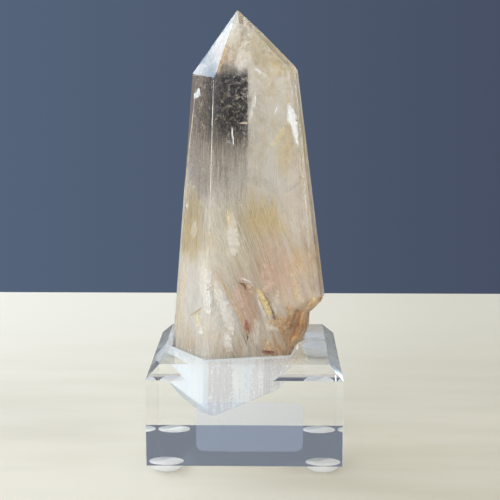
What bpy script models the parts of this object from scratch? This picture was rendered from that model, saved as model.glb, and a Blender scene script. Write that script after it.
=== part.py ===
"""Polished quartz tower that stands in a milled socket of a clear acrylic block, on four bumper pads.

Metres, +Z up. The origin is at the middle of the footprint, on the surface that the pads stand on.
The label faces -Y.
"""
import math

import bmesh
import bpy
from mathutils import Vector, noise

# Acrylic block and its pads
BLOCK_SIDE = 0.056
BLOCK_HEIGHT = 0.029
BLOCK_CHAMFER = 0.0038
BLOCK_UNDERSIDE = 0.003
BLOCK_TOP = BLOCK_UNDERSIDE + BLOCK_HEIGHT
HAIRLINE_GAP = 0.0003
PAD_RADIUS = 0.005
PAD_RIM = 0.0006
PAD_FOOT_RADIUS = 0.0024
PAD_HEIGHT = BLOCK_UNDERSIDE - HAIRLINE_GAP
PAD_CENTRE_X = 0.0226
PAD_CENTRE_Y = 0.022
PAD_SEGMENTS = 40
PAD_DOME_STEPS = 7

# Label film on the front face
LABEL_WIDTH = 0.0303
LABEL_HEIGHT = 0.0144
LABEL_CORNER = 0.0023
LABEL_THICKNESS = 0.0002
LABEL_CENTRE_X = 0.0015
LABEL_CENTRE_Z = 0.0148
LABEL_CORNER_STEPS = 6

# Polished crystal. A side facet faces its azimuth in degrees and has a reach, its distance from the
# block's middle axis, at the block's top and at the crystal's shoulder.
SHOULDER = 0.112
SIDE_FACETS = {
    "front left": (215.2, 0.02078, 0.01510),
    "front": (282.6, 0.01737, 0.01126),
    "right": (330.0, 0.02510, 0.01660),
    "back right": (48.0, 0.01255, 0.00515),
    "back": (100.0, 0.01529, 0.00907),
    "left": (160.0, 0.01906, 0.01312),
}
# A tip facet meets the point, faces its azimuth and leans back by its rise in degrees.
TIP_POINT = Vector((-0.00243, -0.0010, 0.1314))
TIP_FACETS = {
    "front left": (217.5, 33.9),
    "front": (282.2, 30.95),
    "back right": (50.7, 22.1),
    "back": (100.0, 26.4),
    "left": (160.0, 31.4),
}
# The right tip facet is narrow and stays below the point.
TIP_CORNER = Vector((0.00906, -0.00331, 0.12219))
TIP_CORNER_FACET = (299.6, 36.84)
EDGE_EASE = 0.00022

# Broken right side. A profile runs down each break as pairs of reach and height, and the break's
# fall is how much lower it gets per metre towards the back.
UPPER_BREAK_AZIMUTH = 340.0
UPPER_BREAK = ((0.0300, 0.0530), (0.0241, 0.0488), (0.0231, 0.0468), (0.0188, 0.0434),
               (0.0177, 0.0389), (0.0168, 0.0347), (0.0166, 0.0240), (0.0164, 0.0080))
UPPER_BREAK_FALL = 0.2
UPPER_BREAK_ROUGHNESS = 0.0007
LOWER_BREAK_AZIMUTH = 352.0
LOWER_BREAK = ((0.0300, 0.0332), (0.0176, 0.0330), (0.0157, 0.0327), (0.0145, 0.0322),
               (0.0142, 0.0305), (0.0138, 0.0240), (0.0135, 0.0080))
LOWER_BREAK_FALL = 0.05
LOWER_BREAK_ROUGHNESS = 0.00015
BREAK_STEP = 0.0018
BREAK_HALF_SPAN = 0.034
BREAK_OUTER_REACH = 0.060
BREAK_GRAIN = 0.0045

# Broken foot inside the socket: planes through a point, facing down by azimuth and dip in degrees
FOOT_FACETS = {
    "left slope": (Vector((-0.0115, -0.008, 0.0152)), 200.0, 46.0),
    "middle slope": (Vector((-0.0115, -0.008, 0.0152)), 350.0, 68.0),
    "right slope": (Vector((0.0070, -0.006, 0.0226)), 0.0, 50.0),
    "back slope": (Vector((-0.0080, 0.008, 0.0178)), 80.0, 55.0),
}
SOCKET_CLEARANCE = 0.0005
STOCK_SIZE = 0.200

COLOURS = {
    "quartz": ((0.78, 0.70, 0.57), 0.05),
    "clear acrylic": ((0.90, 0.93, 0.94), 0.03),
    "bumper": ((0.86, 0.89, 0.91), 0.25),
    "label film": ((0.85, 0.87, 0.88), 0.35),
}


def clear_scene():
    for old in list(bpy.data.objects):
        bpy.data.objects.remove(old, do_unlink=True)


def finish_material(name):
    colour, roughness = COLOURS[name]
    material = bpy.data.materials.new(name)
    material.use_nodes = True
    shader = material.node_tree.nodes["Principled BSDF"]
    shader.inputs["Base Color"].default_value = (*colour, 1.0)
    shader.inputs["Roughness"].default_value = roughness
    shader.inputs["Metallic"].default_value = 0.0
    return material


def make_object(name, bm, material=None):
    bmesh.ops.recalc_face_normals(bm, faces=bm.faces)
    mesh = bpy.data.meshes.new(name)
    bm.to_mesh(mesh)
    bm.free()
    made = bpy.data.objects.new(name, mesh)
    bpy.context.collection.objects.link(made)
    if material:
        mesh.materials.append(material)
    return made


def as_cutter(made):
    made.hide_render = True
    made.display_type = "WIRE"
    return made


def subtract(target, cutter):
    cut = target.modifiers.new("cut by " + cutter.name, "BOOLEAN")
    cut.operation = "DIFFERENCE"
    cut.solver = "EXACT"
    cut.object = cutter


def direction(azimuth, rise=0.0):
    around = math.radians(azimuth)
    up = math.radians(rise)
    return Vector((math.cos(around) * math.cos(up), math.sin(around) * math.cos(up), math.sin(up)))


def grind(bm, point, normal):
    """Grinds away what lies beyond a plane and closes the flat that is left."""
    geometry = bm.verts[:] + bm.edges[:] + bm.faces[:]
    cut = bmesh.ops.bisect_plane(bm, geom=geometry, dist=1e-7, plane_co=point, plane_no=normal, clear_outer=True)
    rim = [e for e in cut["geom_cut"] if isinstance(e, bmesh.types.BMEdge)]
    bmesh.ops.contextual_create(bm, geom=rim)


def ground_body(clearance):
    """The crystal's flat-faced form, with every face moved out by a clearance."""
    bm = bmesh.new()
    bmesh.ops.create_cube(bm, size=STOCK_SIZE)
    bmesh.ops.translate(bm, verts=bm.verts, vec=(0.0, 0.0, STOCK_SIZE / 2))
    run = SHOULDER - BLOCK_TOP
    for azimuth, low_reach, high_reach in SIDE_FACETS.values():
        outward = direction(azimuth)
        normal = Vector((outward.x, outward.y, (low_reach - high_reach) / run)).normalized()
        point = outward * low_reach + Vector((0.0, 0.0, BLOCK_TOP)) + normal * clearance
        grind(bm, point, normal)
    for azimuth, rise in TIP_FACETS.values():
        normal = direction(azimuth, rise)
        grind(bm, TIP_POINT + normal * clearance, normal)
    corner = direction(*TIP_CORNER_FACET)
    grind(bm, TIP_CORNER + corner * clearance, corner)
    for point, azimuth, dip in FOOT_FACETS.values():
        normal = direction(azimuth, -dip)
        grind(bm, point + normal * clearance, normal)
    return bm


def stations(profile, step):
    """Points along a profile, no further apart than a step."""
    points = [Vector(profile[0])]
    for end in profile[1:]:
        start = points[-1].copy()
        count = max(1, math.ceil((Vector(end) - start).length / step))
        points += [start.lerp(Vector(end), i / count) for i in range(1, count + 1)]
    return points


def break_cutter(name, azimuth, profile, fall, roughness):
    """A body whose inner side is a rough broken surface that follows the profile."""
    outward = direction(azimuth)
    along = Vector((-outward.y, outward.x, 0.0))
    rows = stations(profile, BREAK_STEP)
    columns = math.ceil(2 * BREAK_HALF_SPAN / BREAK_STEP)
    bm = bmesh.new()
    inner, outer = [], []
    for row in rows:
        inner_row, outer_row = [], []
        for column in range(columns + 1):
            across = -BREAK_HALF_SPAN + 2 * BREAK_HALF_SPAN * column / columns
            base = along * across + Vector((0.0, 0.0, row.y - fall * across))
            place = base + outward * row.x
            dent = noise.noise(place / BREAK_GRAIN) + 0.5 * noise.noise(place * 2.3 / BREAK_GRAIN)
            lift = noise.noise(place / BREAK_GRAIN + Vector((7.0, 3.0, 5.0)))
            inner_row.append(bm.verts.new(place + outward * dent * roughness + Vector((0, 0, lift * roughness))))
            outer_row.append(bm.verts.new(base + outward * BREAK_OUTER_REACH))
        inner.append(inner_row)
        outer.append(outer_row)
    last = len(rows) - 1
    for i in range(last):
        for j in range(columns):
            bm.faces.new((inner[i][j], inner[i][j + 1], inner[i + 1][j + 1], inner[i + 1][j]))
            bm.faces.new((outer[i][j], outer[i + 1][j], outer[i + 1][j + 1], outer[i][j + 1]))
        for j in (0, columns):
            bm.faces.new((inner[i][j], inner[i + 1][j], outer[i + 1][j], outer[i][j]))
    for i in (0, last):
        for j in range(columns):
            bm.faces.new((inner[i][j], inner[i][j + 1], outer[i][j + 1], outer[i][j]))
    bmesh.ops.triangulate(bm, faces=bm.faces)
    return as_cutter(make_object(name, bm))


def make_crystal(material):
    crystal = make_object("quartz_tower", ground_body(0.0), material)
    ease = crystal.modifiers.new("eased edges", "BEVEL")
    ease.width = EDGE_EASE
    ease.segments = 1
    ease.limit_method = "ANGLE"
    ease.angle_limit = math.radians(12.0)
    subtract(crystal, break_cutter("upper_break", UPPER_BREAK_AZIMUTH, UPPER_BREAK, UPPER_BREAK_FALL,
                                   UPPER_BREAK_ROUGHNESS))
    subtract(crystal, break_cutter("lower_break", LOWER_BREAK_AZIMUTH, LOWER_BREAK, LOWER_BREAK_FALL,
                                   LOWER_BREAK_ROUGHNESS))
    return crystal


def make_socket_cutter():
    """The crystal's foot with clearance all round, kept to the region of the block."""
    bm = ground_body(SOCKET_CLEARANCE)
    grind(bm, Vector((0.0, 0.0, BLOCK_TOP + 0.004)), Vector((0.0, 0.0, 1.0)))
    right_wall = direction(LOWER_BREAK_AZIMUTH)
    reach = LOWER_BREAK[3][0] + LOWER_BREAK_ROUGHNESS + SOCKET_CLEARANCE
    grind(bm, right_wall * reach, right_wall)
    return as_cutter(make_object("socket", bm))


def make_base(material):
    bm = bmesh.new()
    bmesh.ops.create_cube(bm, size=1.0)
    bmesh.ops.scale(bm, verts=bm.verts, vec=(BLOCK_SIDE, BLOCK_SIDE, BLOCK_HEIGHT))
    bmesh.ops.translate(bm, verts=bm.verts, vec=(0.0, 0.0, BLOCK_UNDERSIDE + BLOCK_HEIGHT / 2))
    top_edges = [e for e in bm.edges if all(v.co.z > BLOCK_TOP - 1e-6 for v in e.verts)]
    bmesh.ops.bevel(bm, geom=top_edges, offset=BLOCK_CHAMFER, segments=1, affect="EDGES")
    base = make_object("acrylic_base", bm, material)
    subtract(base, make_socket_cutter())
    return base


def make_pad(name, x, y, material):
    """A stick-on pad: a flat disc above, a dome below and a small flat that it stands on."""
    profile = [Vector((0.0, 0.0, PAD_HEIGHT)), Vector((PAD_RADIUS, 0.0, PAD_HEIGHT))]
    shoulder = PAD_HEIGHT - PAD_RIM
    for i in range(PAD_DOME_STEPS + 1):
        turn = math.radians(90.0) * i / PAD_DOME_STEPS
        radius = PAD_FOOT_RADIUS + (PAD_RADIUS - PAD_FOOT_RADIUS) * math.cos(turn)
        profile.append(Vector((radius, 0.0, shoulder * (1.0 - math.sin(turn)))))
    profile.append(Vector((0.0, 0.0, 0.0)))
    bm = bmesh.new()
    line = [bm.verts.new(p) for p in profile]
    edges = [bm.edges.new(pair) for pair in zip(line, line[1:])]
    bmesh.ops.spin(bm, geom=line + edges, cent=(0, 0, 0), axis=(0, 0, 1), angle=2 * math.pi, steps=PAD_SEGMENTS)
    bmesh.ops.remove_doubles(bm, verts=bm.verts, dist=1e-6)
    pad = make_object(name, bm, material)
    pad.data.shade_smooth()
    pad.data.set_sharp_from_angle(angle=math.radians(35.0))
    pad.location = (x, y, 0.0)
    return pad


def make_label(material):
    """Rounded film rectangle, a hairline in front of the block's face."""
    bm = bmesh.new()
    outline = []
    half_width = LABEL_WIDTH / 2 - LABEL_CORNER
    half_height = LABEL_HEIGHT / 2 - LABEL_CORNER
    for quarter, (side_x, side_z) in enumerate(((1, 1), (-1, 1), (-1, -1), (1, -1))):
        for i in range(LABEL_CORNER_STEPS + 1):
            turn = math.radians(90.0) * (quarter + i / LABEL_CORNER_STEPS)
            x = side_x * half_width + LABEL_CORNER * math.cos(turn)
            z = side_z * half_height + LABEL_CORNER * math.sin(turn)
            outline.append(bm.verts.new((x, 0.0, z)))
    face = bm.faces.new(outline)
    sweep = bmesh.ops.extrude_face_region(bm, geom=[face])
    moved = [v for v in sweep["geom"] if isinstance(v, bmesh.types.BMVert)]
    bmesh.ops.translate(bm, verts=moved, vec=(0.0, -LABEL_THICKNESS, 0.0))
    label = make_object("label_film", bm, material)
    label.location = (LABEL_CENTRE_X, -BLOCK_SIDE / 2 - HAIRLINE_GAP, LABEL_CENTRE_Z)
    return label


def main():
    clear_scene()
    make_crystal(finish_material("quartz"))
    make_base(finish_material("clear acrylic"))
    rubber = finish_material("bumper")
    for depth, y in (("front", -PAD_CENTRE_Y), ("back", PAD_CENTRE_Y)):
        for side, x in (("left", -PAD_CENTRE_X), ("right", PAD_CENTRE_X)):
            make_pad(f"bumper_pad_{depth}_{side}", x, y, rubber)
    make_label(finish_material("label film"))


main()
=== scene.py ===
"""Looks of a rutilated quartz tower: a crystal full of fine hair, standing in a clear acrylic block."""

import functools
import math

import bmesh
import bpy
import numpy as np
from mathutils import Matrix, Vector, noise
from mathutils.bvhtree import BVHTree


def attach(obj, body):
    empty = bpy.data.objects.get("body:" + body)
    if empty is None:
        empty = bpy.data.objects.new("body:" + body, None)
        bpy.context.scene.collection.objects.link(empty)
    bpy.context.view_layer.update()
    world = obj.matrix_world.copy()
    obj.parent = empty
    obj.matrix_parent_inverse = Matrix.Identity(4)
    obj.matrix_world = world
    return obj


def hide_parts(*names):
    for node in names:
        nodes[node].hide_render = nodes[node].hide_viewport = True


MM = 0.001
BODY = "root"

# Camera, from the block's corners in the photograph
PHOTO_SIDE = 500
FOCAL_PIXELS = 1194
SENSOR = 36.0
CAMERA_PLACE = Vector((0.007007, -0.352589, 0.124149))
CAMERA_LOOK = Vector((-0.01632, 0.98406, -0.17708))

# Floor
FLOOR_FRONT = -1.6
FLOOR_BACK = 0.2185
FLOOR_HALF_WIDTH = 1.6

# Lamps: each has the direction and distance it shines from, its size, power and colour
LAMPS = {
    "window": ((-0.69, 0.50, 0.51), 1.1, (1.35, 0.82), 7.6, (0.91, 0.98, 1.09)),
    "front_fill": ((-0.62, -0.78, 0.30), 1.2, (0.8, 0.6), 7.0, (1, 1, 1)),
    "right_fill": ((0.95, -0.38, 0.34), 1.2, (0.6, 0.6), 5.0, (1, 1, 1)),
}

# Glass
QUARTZ_IOR = 1.544
ACRYLIC_IOR = 1.491

# Run of the hair, in millimetres: it is upright above LEAN_TOP and leans down to the right below it, from
# LEAN_LEFT on and fully from LEAN_RIGHT on. Streaks follow it, so their noise is squeezed along it.
LEAN_TOP = 74.0
LEAN = 0.34
LEAN_LEFT = -13.0
LEAN_RIGHT = -3.0
RUN_SQUEEZE = 0.08

# Socket frosting: a white skin just under the milled wall, with a lip of chips round the opening
FROST_OUTSIDE = 0.05 * MM
FROST_EDGE = 0.9 * MM
FROST_CUTS = 7
FROST_RIDGE = 0.9 * MM
FROST_SQUEEZE = 0.1
FROST_SINK = 0.16 * MM
FROST_DEPTH = 0.07 * MM
FROST_SKIN = 0.05 * MM
FROST_LIP = 0.12 * MM
FROST_LIP_RISE = 0.42 * MM
FROST_CORNER = -10.5

# Block and pads
BLOCK_TOP = 32 * MM
BLOCK_MIDDLE = 26 * MM
BLOCK_EDGE = 0.08 * MM
SIDE_CHAMFER = 56.0
GLUE_TOP = 3.05 * MM
MERGE_DISTANCE = 0.002 * MM
PAD_GLUE_FROM = 2.6 * MM
PAD_EDGE_TURN = math.radians(40)
BLOCK_FLAT_TURN = math.radians(0.5)
BLOCK_EDGE_TURN = math.radians(20)

# Haze: its shape, with lengths in metres
TIP_HEIGHT = 0.1314
TIP_SHIFT = (-2.4 * MM, -1.0 * MM)
HAZE_RINGS = 110
HAZE_SIDES = 128
HAZE_TIP_DROP = 2.6
HAZE_WAVE = 0.006
HAZE_DENT = 0.0006
HAZE_LEAST = 0.0002
HAZE_CAP = 0.0003

# Each haze: its depth under the surface, its lowest height, and how much body and smoke it has
HAZES = {
    "outer": (1.8 * MM, 25 * MM, 0.8, 0.8),
    "middle": (4.0 * MM, 27 * MM, 0.95, 0.6),
    "inner": (7.0 * MM, 30 * MM, 1.0, 0.4),
}

# Where the inclusions change, in millimetres: a pair is where the change begins and where it is complete
HAZE_TOP = 86.0
HAZE_BOTTOM = 66.0
HAZE_RAGGED = 34.0
FACE_EDGE = (-10.5, -9.0)
SHOULDER = (116.0, 112.0)
WINDOW_FOOT = (80.0, 92.0)
PAINTED_SHADE_FOOT = (85.5, 99.0)
VEIL_FOOT = (83.0, 96.0)
SEAM = 0.3

# How dense the haze gets, how thick its veil over the upper crystal is (thicker in the clear window, where
# it is painted shade), and the noise of its specks
UPPER_HAZE = 0.62
SMOKE_HAZE = 0.7
WINDOW_VEIL = 0.13
WINDOW_PAINTED_SHADE = 0.26
SPECK_NOISE = (0.9, 5.0, 0.75, 0.6)

# Hair: it is thrown into a box given in millimetres, a batch at a time
HAIR_MARGIN = 0.7 * MM
HAIR_BOX = ((-26.0, -24.0, 22.0), (28.0, 20.0, 131.0))
HAIR_BATCH = 40000
HAIR_SIDES = 3
HAIR_STREAKS = 0.4
HAIR_TONE_SPREAD = 0.25

# The broken corner of the foot
BREAK_TOP = 0.056
BREAK_LEFT = 0.006
BREAK_DEPTH = 0.35 * MM
BREAK_EDGE = 0.7 * MM
BREAK_CUTS = 4
BREAK_LEDGE = 2.6 * MM
BREAK_RELIEF = 0.45 * MM
BREAK_FINE_SHARE = 0.4
BREAK_FINE_SCALE = 2.7
WORN_WIDTH = 0.03 * MM

# Leaves: thin sheets of cracks and clouds, and some of painted highlight and painted shadow
LEAF_ROWS = 34
LEAF_COLUMNS = 8
LEAF_SKIN = 0.05 * MM
LEAF_CRUMPLE = 0.6
LEAF_CRUMPLE_SCALE = 0.9
LEAF_APART = 7.0
LEAF_LIFT = 0.6
LEAF_LIFT_SCALE = 0.8
LEAF_LIFT_WIDTH = 0.8
LEAF_END_RISE = 6
OUTLINE_STEP = 0.99

# Places of the colour Mix node's sockets
MIX_COLOUR_A = 6
MIX_COLOUR_B = 7
MIX_COLOUR_RESULT = 2


def srgb(red, green, blue):
    """A colour given in 0 to 255 sRGB, as the linear RGBA that shaders take."""
    def linear(value):
        share = value / 255
        return share / 12.92 if share <= 0.04045 else ((share + 0.055) / 1.055) ** 2.4
    return (linear(red), linear(green), linear(blue), 1.0)


def thick(red, green, blue):
    """The colour one strand needs for a dense mass of them to look like this 0 to 255 sRGB colour."""
    return tuple(1 - ((1 - look) / (1 + look)) ** 2 for look in srgb(red, green, blue)[:3]) + (1.0,)


class Bench:
    """A node tree being wired."""

    def __init__(self, tree):
        self.tree = tree

    def add(self, kind, inputs=None, **settings):
        node = self.tree.nodes.new(kind)
        for name, value in settings.items():
            setattr(node, name, value)
        for name, value in (inputs or {}).items():
            self.feed(node.inputs[name], value)
        return node

    def feed(self, socket, value):
        """Sets a socket to a value, or links it to a socket or to the first output of a node."""
        if isinstance(value, bpy.types.Node):
            value = value.outputs[0]
        if isinstance(value, bpy.types.NodeSocket):
            self.tree.links.new(value, socket)
        else:
            socket.default_value = value

    def math(self, operation, first, second=0.0, third=0.0, clamp=False):
        return self.add(
            "ShaderNodeMath", {0: first, 1: second, 2: third}, operation=operation, use_clamp=clamp
        ).outputs[0]

    def times(self, *values):
        return functools.reduce(lambda first, second: self.math("MULTIPLY", first, second), values)

    def plus(self, *values):
        return functools.reduce(lambda first, second: self.math("ADD", first, second), values)

    def most(self, *values):
        return functools.reduce(lambda first, second: self.math("MAXIMUM", first, second), values)

    def band(self, value, rise, fall):
        """1 between two limits and 0 outside; rise and fall say where it comes and goes."""
        return self.times(self.remap(value, *rise), self.remap(value, *fall))

    def vector(self, operation, first, second=(0, 0, 0)):
        node = self.add("ShaderNodeVectorMath", {0: first}, operation=operation)
        if operation == "SCALE":
            self.feed(node.inputs["Scale"], second)
        else:
            self.feed(node.inputs[1], second)
        return node.outputs["Value" if operation in ("LENGTH", "DOT_PRODUCT") else "Vector"]

    def remap(self, value, low, high, to_low=0.0, to_high=1.0, smooth=True):
        kind = "SMOOTHSTEP" if smooth else "LINEAR"
        inputs = {"Value": value, "From Min": low, "From Max": high, "To Min": to_low, "To Max": to_high}
        return self.add("ShaderNodeMapRange", inputs, interpolation_type=kind).outputs["Result"]

    def mix(self, factor, first, second, blend="MIX"):
        node = self.add("ShaderNodeMix", data_type="RGBA", blend_type=blend)
        self.feed(node.inputs["Factor"], factor)
        self.feed(node.inputs[MIX_COLOUR_A], first)
        self.feed(node.inputs[MIX_COLOUR_B], second)
        return node.outputs[MIX_COLOUR_RESULT]

    def noise(self, vector, scale, detail=2.0, roughness=0.5, distortion=0.0, output="Fac"):
        inputs = {
            "Vector": vector, "Scale": scale, "Detail": detail,
            "Roughness": roughness, "Distortion": distortion,
        }
        return self.add("ShaderNodeTexNoise", inputs).outputs[output]

    def drift(self, vector, reach, *settings):
        """An offset that wanders with noise, about a quarter of reach to each side."""
        wander = self.vector("SUBTRACT", self.noise(vector, *settings, output="Color"), (0.5, 0.5, 0.5))
        return self.vector("MULTIPLY", wander, reach)

    def parts(self, vector):
        return self.add("ShaderNodeSeparateXYZ", {0: vector}).outputs[:]

    def place(self):
        return self.add("ShaderNodeTexCoord").outputs["Object"]

    def place_mm(self):
        return self.vector("SCALE", self.place(), 1 / MM)


def new_material(name):
    material = bpy.data.materials.new(name)
    material.use_nodes = True
    material.node_tree.nodes.clear()
    bench = Bench(material.node_tree)
    return material, bench


def finish_surface(bench, surface):
    bench.add("ShaderNodeOutputMaterial", {"Surface": surface})


def finish_glass(bench, inputs, shade, absorb, density):
    """Plain glass that absorbs a little; shadow rays pass it, so that lamps light what is inside."""
    glass = bench.add("ShaderNodeBsdfPrincipled", {"Transmission Weight": 1.0, **inputs})
    clear = bench.add("ShaderNodeBsdfTransparent", {"Color": shade})
    shadow = bench.add("ShaderNodeLightPath").outputs["Is Shadow Ray"]
    surface = bench.add("ShaderNodeMixShader", {0: shadow, 1: glass, 2: clear})
    volume = bench.add("ShaderNodeVolumeAbsorption", {"Color": absorb, "Density": density})
    bench.add("ShaderNodeOutputMaterial", {"Surface": surface, "Volume": volume})


class Crystal:
    """The tower's facets and surface, read from its CAD node, to keep what grows inside it inside."""

    LEAST_AREA = 20e-6
    SAME_TURN = 0.9998
    SAME_PLANE = 5e-5
    FRONT = -0.06

    def __init__(self, node):
        mesh = node.data
        normals = np.array([face.normal for face in mesh.polygons])
        areas = np.array([face.area for face in mesh.polygons])
        offsets = np.array([face.normal.dot(face.center) for face in mesh.polygons])
        left = np.ones(len(areas), bool)
        facets = []
        for n in np.argsort(-areas):
            if left[n]:
                same = left & (normals @ normals[n] > self.SAME_TURN)
                same &= abs(offsets - offsets[n]) < self.SAME_PLANE
                left &= ~same
                if areas[same].sum() > self.LEAST_AREA:
                    facets.append((normals[n], offsets[n]))
        self.normals = np.array([facet[0] for facet in facets])
        self.offsets = np.array([facet[1] for facet in facets])
        corners = [vertex.co.copy() for vertex in mesh.vertices]
        self.surface = BVHTree.FromPolygons(corners, [tuple(face.vertices) for face in mesh.polygons])

    def depth(self, points):
        """How deep each point lies under the flat facets, in metres; negative outside."""
        return (self.offsets - points @ self.normals.T).min(axis=1)

    def holds(self, points, margin):
        """Which points lie inside, at least margin from the flat facets and from the breaks."""
        inside = self.depth(points) > margin
        near_break = inside & (points[:, 2] < BREAK_TOP) & (points[:, 0] > BREAK_LEFT)
        for n in np.flatnonzero(near_break):
            spot, normal, _, distance = self.surface.find_nearest(Vector(points[n]))
            inside[n] = (Vector(points[n]) - spot).dot(normal) < 0 and distance > margin
        return inside

    def under_front(self, x, z, depth):
        """The point at a depth under the front, in millimetres; an x past the outline is brought inside."""
        spot = None
        while spot is None:
            start = Vector((x * MM, self.FRONT, z * MM))
            spot, normal, _, _ = self.surface.ray_cast(start, Vector((0, 1, 0)))
            x *= OUTLINE_STEP
        return spot - normal * depth * MM

    def reach(self, centre, direction):
        """How far it is from a point inside to the surface."""
        distance = self.surface.ray_cast(centre, direction)[3]
        return distance or 0.0


def new_group(name, inputs, outputs):
    """A shader node group with named sockets; returns its bench and its input node."""
    tree = bpy.data.node_groups.new(name, "ShaderNodeTree")
    for label, kind, value in inputs:
        socket = tree.interface.new_socket(label, in_out="INPUT", socket_type=kind)
        socket.default_value = value
    for label, kind in outputs:
        tree.interface.new_socket(label, in_out="OUTPUT", socket_type=kind)
    bench = Bench(tree)
    return bench, tree.nodes.new("NodeGroupInput")


def use_group(bench, group, **inputs):
    node = bench.add("ShaderNodeGroup", node_tree=group)
    for name, value in inputs.items():
        bench.feed(node.inputs[name.replace("_", " ").capitalize()], value)
    return node.outputs


def hair_run_group():
    """Places in millimetres: as they are, slanted with the hair, and squeezed along it for streaks."""
    bench, _ = new_group("hair_run", [], [
        ("Place", "NodeSocketVector"), ("Run", "NodeSocketVector"), ("Slant", "NodeSocketVector"),
    ])
    place = bench.place_mm()
    x, y, z = bench.parts(bench.vector("ADD", place, bench.drift(place, (3.0, 3.0, 8.0), 0.09, 2.0)))
    below = bench.math("MINIMUM", bench.math("SUBTRACT", z, LEAN_TOP), 0.0)
    lean = bench.times(bench.remap(x, LEAN_LEFT, LEAN_RIGHT), LEAN)
    across = bench.math("MULTIPLY_ADD", below, lean, x)
    run = bench.add("ShaderNodeCombineXYZ", {0: across, 1: y, 2: bench.times(z, RUN_SQUEEZE)})
    slant = bench.add("ShaderNodeCombineXYZ", {0: across, 1: y, 2: z})
    bench.add("NodeGroupOutput", {"Place": place, "Run": run, "Slant": slant})
    return bench.tree


def soft_spot(bench, place, centre, size, edge=0.6):
    """1 inside an ellipsoid and 0 outside, in millimetres; edge is the share of it that fades."""
    away = bench.vector("DIVIDE", bench.vector("SUBTRACT", place, centre), size)
    return bench.remap(bench.vector("LENGTH", away), 1.0, 1.0 - edge)


# Stains: what tints the hair, painted in this order. Each has its centre and half size in millimetres,
# measured across the hair, front to back and up, then how much of it fades at the edge, and its colour.
STAINS = [
    ((-9, -6, 98), (10.5, 22, 24), 0.4, srgb(174, 156, 132)),
    ((9, -6, 96), (12, 20, 24), 0.4, thick(198, 199, 195)),
    ((4, -6, 122), (13, 20, 9), 0.5, thick(132, 126, 108)),
    ((9, -6, 117.5), (6.5, 18, 6), 0.8, thick(138, 120, 86)),
    ((11, -6, 92), (4, 18, 12), 0.8, thick(190, 172, 134)),
    ((-16, -8, 70), (7, 18, 14), 0.5, thick(190, 164, 118)),
    ((-4, -8, 66), (10, 18, 16), 0.6, thick(241, 223, 188)),
    ((3.5, -8, 72), (11, 18, 6.5), 0.7, thick(212, 182, 132)),
    ((15.5, 0, 60), (3.5, 16, 10), 0.6, thick(236, 225, 215)),
    ((3, -8, 57), (9.5, 18, 13), 0.6, thick(216, 176, 154)),
    ((11.5, -8, 59), (5, 18, 8), 0.7, thick(226, 178, 142)),
    ((14.5, -8, 82), (5, 18, 18), 0.7, thick(222, 204, 188)),
    ((-16, -8, 44), (8, 18, 17), 0.6, thick(226, 191, 157)),
    ((-8, -10, 48), (3.2, 16, 12), 0.5, thick(204, 164, 146)),
    ((-14.5, -12, 47), (3.8, 16, 13), 0.35, thick(244, 239, 228)),
    ((-10.8, -12, 48), (0.5, 16, 12), 0.8, thick(168, 134, 104)),
    ((1.5, -8, 38.5), (6.5, 16, 6), 0.6, thick(150, 112, 74)),
    ((-4, -12, 33.5), (6, 12, 2.6), 0.8, thick(150, 104, 70)),
    ((-6.4, -10, 119.5), (4.4, 16, 8), 0.5, thick(130, 99, 70)),
]
BASE_TINT = thick(214, 202, 184)


def tint_group(run_group):
    """The colour of the hair and haze at each place, with its streaks, and painted shade that darkens the
    clear window.
    """
    bench, source = new_group(
        "inclusion_tint", [("Streaks", "NodeSocketFloat", 1.0)], [("Color", "NodeSocketColor")]
    )
    runs = use_group(bench, run_group)
    place, run = runs["Place"], runs["Run"]
    slant = bench.vector("ADD", runs["Slant"], bench.drift(run, (2.5, 4.0, 22.0), 0.5, 3.0, 0.6))
    colour = BASE_TINT
    for centre, size, edge, tint in STAINS:
        colour = bench.mix(soft_spot(bench, slant, centre, size, edge), colour, tint)
    x, _, z = bench.parts(place)
    high = bench.remap(z, *WINDOW_FOOT)
    swirl = bench.noise(place, 0.16, 4.0, 0.6, 2.2)
    honey = bench.times(bench.remap(swirl, 0.50, 0.62), high, 0.55)
    colour = bench.mix(honey, colour, thick(172, 150, 112))
    milk = bench.times(bench.remap(swirl, 0.46, 0.36), high, 0.5)
    colour = bench.mix(milk, colour, thick(222, 220, 212))
    broad = bench.noise(run, 0.36, 3.0, 0.6)
    fine = bench.noise(run, 1.3, 4.0, 0.65)
    lift = bench.plus(bench.remap(broad, 0.36, 0.64, -0.7, 0.7), bench.remap(fine, 0.36, 0.64, -0.6, 0.6))
    lift = bench.times(lift, source.outputs["Streaks"])
    colour = bench.mix(bench.remap(lift, 0.1, 1.0, 0.0, 0.7), colour, thick(242, 232, 212))
    colour = bench.mix(bench.remap(lift, -0.1, -1.0, 0.0, 0.6), colour, thick(186, 154, 118))
    # Painted shade: between the specks, the clear window is tinted dark slate and the face left of it a
    # little dark brown, standing in for the dark wall seen through.
    speck = bench.noise(place, *SPECK_NOISE)
    past_edge = bench.remap(x, *FACE_EDGE)
    painted_window_shade = bench.times(
        bench.remap(x, SEAM + 0.6, SEAM - 0.2), bench.remap(z, *SHOULDER), bench.remap(z, *PAINTED_SHADE_FOOT),
        bench.math("MULTIPLY_ADD", past_edge, 0.65, 0.35), bench.remap(speck, 0.58, 0.54),
    )
    painted_shade_colour = bench.mix(past_edge, srgb(98, 82, 68), srgb(40, 44, 54))
    bench.add("NodeGroupOutput", {"Color": bench.mix(painted_window_shade, colour, painted_shade_colour)})
    return bench.tree


def new_mesh(name, points, faces, material):
    mesh = bpy.data.meshes.new(name)
    mesh.from_pydata(points, [], faces)
    mesh.materials.append(material)
    return mesh


def mesh_of(form, name, material):
    """Turns a bmesh into a mesh of one material."""
    mesh = bpy.data.meshes.new(name)
    form.to_mesh(mesh)
    form.free()
    mesh.materials.append(material)
    return mesh


def place_piece(name, mesh):
    piece = bpy.data.objects.new(name, mesh)
    bpy.context.scene.collection.objects.link(piece)
    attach(piece, BODY)
    return piece


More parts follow.
